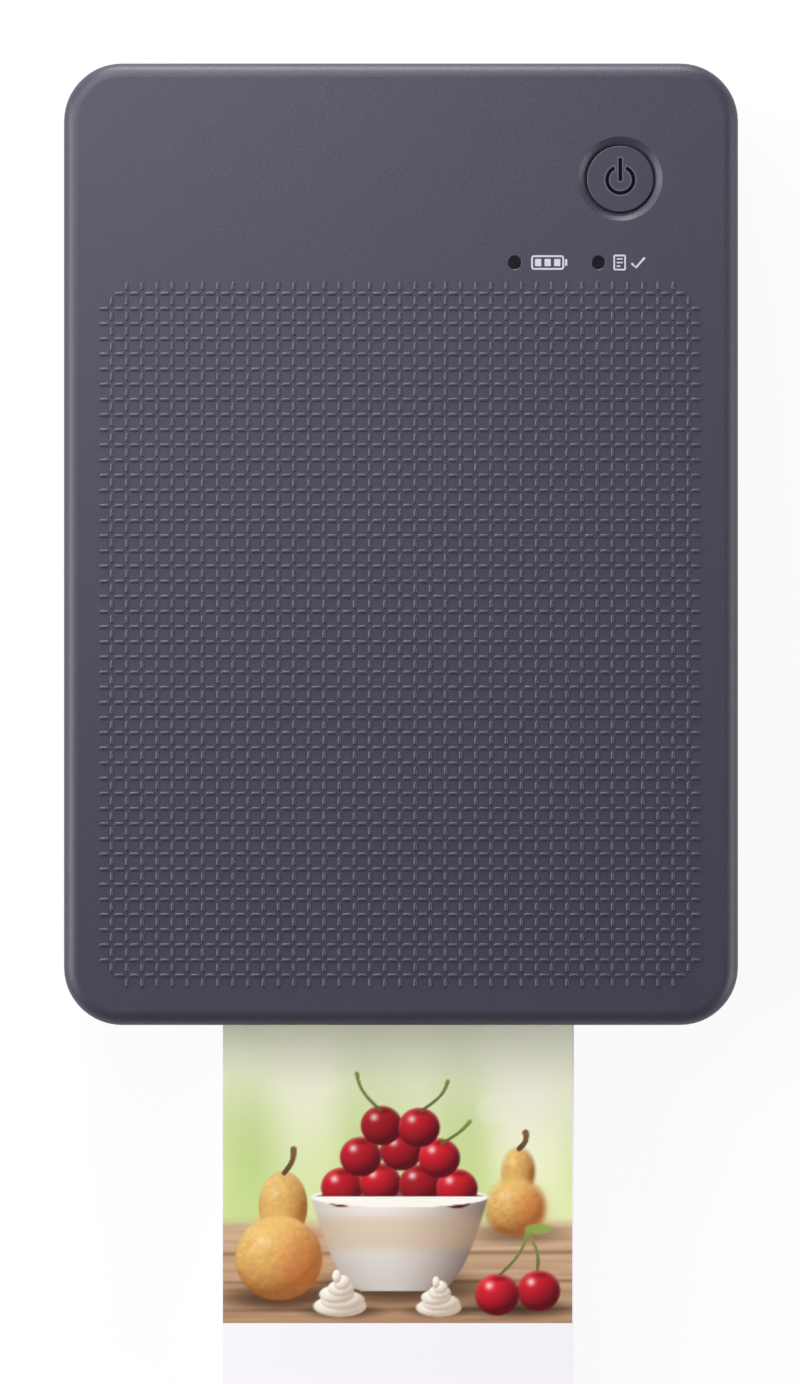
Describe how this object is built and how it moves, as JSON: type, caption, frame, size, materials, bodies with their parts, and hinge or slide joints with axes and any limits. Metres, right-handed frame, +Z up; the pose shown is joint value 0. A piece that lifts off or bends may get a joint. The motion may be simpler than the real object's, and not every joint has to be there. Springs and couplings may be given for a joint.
{
  "type": "compact photo printer",
  "caption": "Flat pocket-size dye-sublimation photo printer with a hinged top cover, textured lid, round power button, ribbon bay door and a card-size print in its front slot.",
  "frame": {"origin": "centre of the footprint of casing and print together, on the plane of the feet; the casing alone is centred at y = +31 mm", "axes": "+Z up, +Y towards the hinge end with the power button, -Y out of the print slot, +X to the right seen from above with the button at the top"},
  "size_m": [0.1022, 0.2078, 0.0331],
  "materials": {
    "bottom_case": "fine matt moulded texture",
    "rubber_feet": "matt",
    "case_screws": "zinc plated",
    "hinge_pins": "ground",
    "door_pins": "ground",
    "latch_spring": "drawn wire",
    "paper_tray": "matt moulded",
    "card_guides": "matt moulded",
    "paper_stack": null,
    "paper_guide": "matt moulded",
    "chassis_left": "sheet",
    "chassis_right": "sheet",
    "shaft_bushes": "sintered",
    "head_pivot_pin": "ground",
    "head_torsion_spring": "drawn wire",
    "ribbon_cassette": "moulded",
    "dye_film": "dye film",
    "stepper_motor": "drawn can",
    "gear_studs": "ground",
    "main_board": "solder resist",
    "board_chips": "smooth",
    "usb_socket": "drawn can",
    "battery_pack": "shrink sleeve",
    "board_screws": "zinc plated",
    "top_cover": "fine satin moulded texture",
    "lid_inner_panel": "matt moulded",
    "lid_screws": "zinc plated",
    "tact_switch": "smooth",
    "switch_board": "solder resist",
    "indicator_leds": "clear",
    "charge_lamp_lens": "smoked lens",
    "status_lamp_lens": "smoked lens",
    "pressure_springs": "drawn wire",
    "power_button": "fine satin moulded texture",
    "switch_plunger": "smooth",
    "pressure_plate": "spring steel sheet",
    "cassette_door": "fine matt moulded texture",
    "latch_slider": "fine satin moulded texture",
    "thermal_head": "glazed ceramic",
    "head_heatsink": "extruded",
    "pickup_rollers": "matt",
    "capstan_roller": "ground",
    "photo_print": "resin coated photo paper",
    "pinch_roller": "matt",
    "platen_roller": "matt",
    "eject_rollers": "matt",
    "eject_idlers": "acetal",
    "rear_idler_gear": "acetal",
    "front_idler_gear": "acetal",
    "takeup_gear": "acetal",
    "takeup_spool": "acetal",
    "takeup_film": "dye film",
    "takeup_hub": "acetal",
    "supply_spool": "acetal",
    "supply_film": "dye film",
    "supply_hub": "acetal",
    "transfer_gear": "acetal",
    "pickup_gear": "acetal",
    "compound_gear": "acetal",
    "motor_pinion": "sintered"
  },
  "bodies": {
    "base": {"bottom_case": "bottom_case", "rubber_feet": "rubber_feet", "case_screws": "case_screws", "hinge_pins": "hinge_pins", "door_pins": "door_pins", "latch_spring": "latch_spring", "paper_tray": "paper_tray", "card_guides": "card_guides", "paper_stack": "paper_stack", "paper_guide": "paper_guide", "chassis_left": "chassis_left", "chassis_right": "chassis_right", "shaft_bushes": "shaft_bushes", "head_pivot_pin": "head_pivot_pin", "head_torsion_spring": "head_torsion_spring", "ribbon_cassette": "ribbon_cassette", "dye_film": "dye_film", "stepper_motor": "stepper_motor", "gear_studs": "gear_studs", "main_board": "main_board", "board_chips": "board_chips", "usb_socket": "usb_socket", "battery_pack": "battery_pack", "board_screws": "board_screws"},
    "lid": {"top_cover": "top_cover", "lid_inner_panel": "lid_inner_panel", "lid_screws": "lid_screws", "tact_switch": "tact_switch", "switch_board": "switch_board", "indicator_leds": "indicator_leds", "charge_lamp_lens": "charge_lamp_lens", "status_lamp_lens": "status_lamp_lens", "pressure_springs": "pressure_springs"},
    "button": {"power_button": "power_button", "switch_plunger": "switch_plunger"},
    "pressure_plate_body": {"pressure_plate": "pressure_plate"},
    "door": {"cassette_door": "cassette_door"},
    "latch": {"latch_slider": "latch_slider"},
    "head": {"thermal_head": "thermal_head", "head_heatsink": "head_heatsink"},
    "pickup": {"pickup_rollers": "pickup_rollers"},
    "capstan": {"capstan_roller": "capstan_roller"},
    "print": {"photo_print": "photo_print"},
    "pinch": {"pinch_roller": "pinch_roller"},
    "platen": {"platen_roller": "platen_roller"},
    "eject": {"eject_rollers": "eject_rollers"},
    "eject_idler": {"eject_idlers": "eject_idlers"},
    "rear_idler": {"rear_idler_gear": "rear_idler_gear"},
    "front_idler": {"front_idler_gear": "front_idler_gear"},
    "takeup_drive": {"takeup_gear": "takeup_gear"},
    "takeup": {"takeup_spool": "takeup_spool", "takeup_film": "takeup_film", "takeup_hub": "takeup_hub"},
    "supply": {"supply_spool": "supply_spool", "supply_film": "supply_film", "supply_hub": "supply_hub"},
    "transfer": {"transfer_gear": "transfer_gear"},
    "pickup_drive": {"pickup_gear": "pickup_gear"},
    "compound": {"compound_gear": "compound_gear"},
    "motor_rotor": {"motor_pinion": "motor_pinion"}
  },
  "joints": [
    {"name": "lid_hinge", "type": "hinge", "parent": "base", "child": "lid", "pos_m": [0, 0.1025, 0.0245], "axis": [-1, 0, 0], "range_deg": [0, 85]},
    {"name": "button_press", "type": "slide", "parent": "lid", "child": "button", "axis": [0, 0, -1], "range_m": [0, 0.00035], "stiffness_N_per_m": 1500, "springref_m": -0.0002},
    {"name": "pressure_plate_lift", "type": "slide", "parent": "lid", "child": "pressure_plate_body", "axis": [0, 0, 1], "range_m": [0, 0.003], "stiffness_N_per_m": 200, "springref_m": -0.004, "deforming": ["pressure_springs"]},
    {"name": "door_hinge", "type": "hinge", "parent": "base", "child": "door", "pos_m": [-0.0501, 0.031, 0.01355], "axis": [0, -1, 0], "range_deg": [0, 92]},
    {"name": "latch_slide", "type": "slide", "parent": "base", "child": "latch", "axis": [0, 1, 0], "range_m": [0, 0.0035], "stiffness_N_per_m": 150, "springref_m": -0.003, "deforming": ["latch_spring"]},
    {"name": "head_lift", "type": "hinge", "parent": "base", "child": "head", "pos_m": [0, -0.00962, 0.0195], "axis": [-1, 0, 0], "range_deg": [0, 8], "stiffness_Nm_per_rad": 0.05, "springref_deg": -17.19},
    {"name": "pickup_turn", "type": "hinge", "parent": "base", "child": "pickup", "pos_m": [0, 0.0215, 0.01035], "axis": [1, 0, 0], "range_deg": [0, 360]},
    {"name": "capstan_spin", "type": "hinge", "parent": "base", "child": "capstan", "pos_m": [0, 0.00798, 0.00997], "axis": [1, 0, 0], "range_deg": [-1718.9, 229.2]},
    {"name": "print_feed", "type": "slide", "parent": "base", "child": "print", "axis": [0, -1, 0], "range_m": [-0.0901, 0.0121]},
    {"name": "pinch_spin", "type": "hinge", "parent": "base", "child": "pinch", "pos_m": [0, 0.00798, 0.01588], "axis": [1, 0, 0], "range_deg": [-265, 1984]},
    {"name": "platen_spin", "type": "hinge", "parent": "base", "child": "platen", "pos_m": [0, -0.01402, 0.00997], "axis": [1, 0, 0], "range_deg": [-1719, 230]},
    {"name": "eject_spin", "type": "hinge", "parent": "base", "child": "eject", "pos_m": [0, -0.035, 0.01097], "axis": [1, 0, 0], "range_deg": [-2579, 344]},
    {"name": "eject_idler_spin", "type": "hinge", "parent": "base", "child": "eject_idler", "pos_m": [0, -0.035, 0.01528], "axis": [1, 0, 0], "range_deg": [-344, 2579]},
    {"name": "rear_idler_spin", "type": "hinge", "parent": "base", "child": "rear_idler", "pos_m": [0, -0.00302, 0.00997], "axis": [1, 0, 0], "range_deg": [-276, 2063]},
    {"name": "front_idler_spin", "type": "hinge", "parent": "base", "child": "front_idler", "pos_m": [0, -0.02551, 0.01052], "axis": [1, 0, 0], "range_deg": [-251, 1876]},
    {"name": "takeup_gear_spin", "type": "hinge", "parent": "base", "child": "takeup_drive", "pos_m": [0, -0.0255, 0.01902], "axis": [1, 0, 0], "range_deg": [-3438, 459]},
    {"name": "takeup_spin", "type": "hinge", "parent": "base", "child": "takeup", "pos_m": [0, -0.0255, 0.01902], "axis": [1, 0, 0], "range_deg": [-1779, 238]},
    {"name": "supply_spin", "type": "hinge", "parent": "base", "child": "supply", "pos_m": [0, -0.00255, 0.01902], "axis": [1, 0, 0], "range_deg": [-181, 1358]},
    {"name": "transfer_spin", "type": "hinge", "parent": "base", "child": "transfer", "pos_m": [0, 0.0158, 0.01442], "axis": [1, 0, 0], "range_deg": [-459, 3438]},
    {"name": "pickup_gear_spin", "type": "hinge", "parent": "base", "child": "pickup_drive", "pos_m": [0, 0.0215, 0.01035], "axis": [1, 0, 0], "range_deg": [-2579, 344]},
    {"name": "compound_spin", "type": "hinge", "parent": "base", "child": "compound", "pos_m": [0, 0.02686, 0.01485], "axis": [1, 0, 0], "range_deg": [-459, 3438]},
    {"name": "motor_spin", "type": "hinge", "parent": "base", "child": "motor_rotor", "pos_m": [0, 0.03673, 0.01126], "axis": [1, 0, 0], "range_deg": [-11001, 1467]}
  ],
  "couplings": [
    {"joint": "print_feed", "follows": "capstan_spin", "m_per_rad": 0.003},
    {"joint": "pinch_spin", "follows": "capstan_spin", "ratio": -1.1538},
    {"joint": "platen_spin", "follows": "capstan_spin", "ratio": 1},
    {"joint": "eject_spin", "follows": "capstan_spin", "ratio": 1.5},
    {"joint": "eject_idler_spin", "follows": "capstan_spin", "ratio": -1.5},
    {"joint": "rear_idler_spin", "follows": "capstan_spin", "ratio": -1.2},
    {"joint": "front_idler_spin", "follows": "capstan_spin", "ratio": -1.0909},
    {"joint": "takeup_gear_spin", "follows": "capstan_spin", "ratio": 2},
    {"joint": "takeup_spin", "follows": "capstan_spin", "ratio": 1.0345},
    {"joint": "supply_spin", "follows": "capstan_spin", "ratio": -0.78947},
    {"joint": "transfer_spin", "follows": "capstan_spin", "ratio": -2},
    {"joint": "pickup_gear_spin", "follows": "capstan_spin", "ratio": 1.5},
    {"joint": "compound_spin", "follows": "capstan_spin", "ratio": -2},
    {"joint": "motor_spin", "follows": "capstan_spin", "ratio": 6.4}
  ]
}
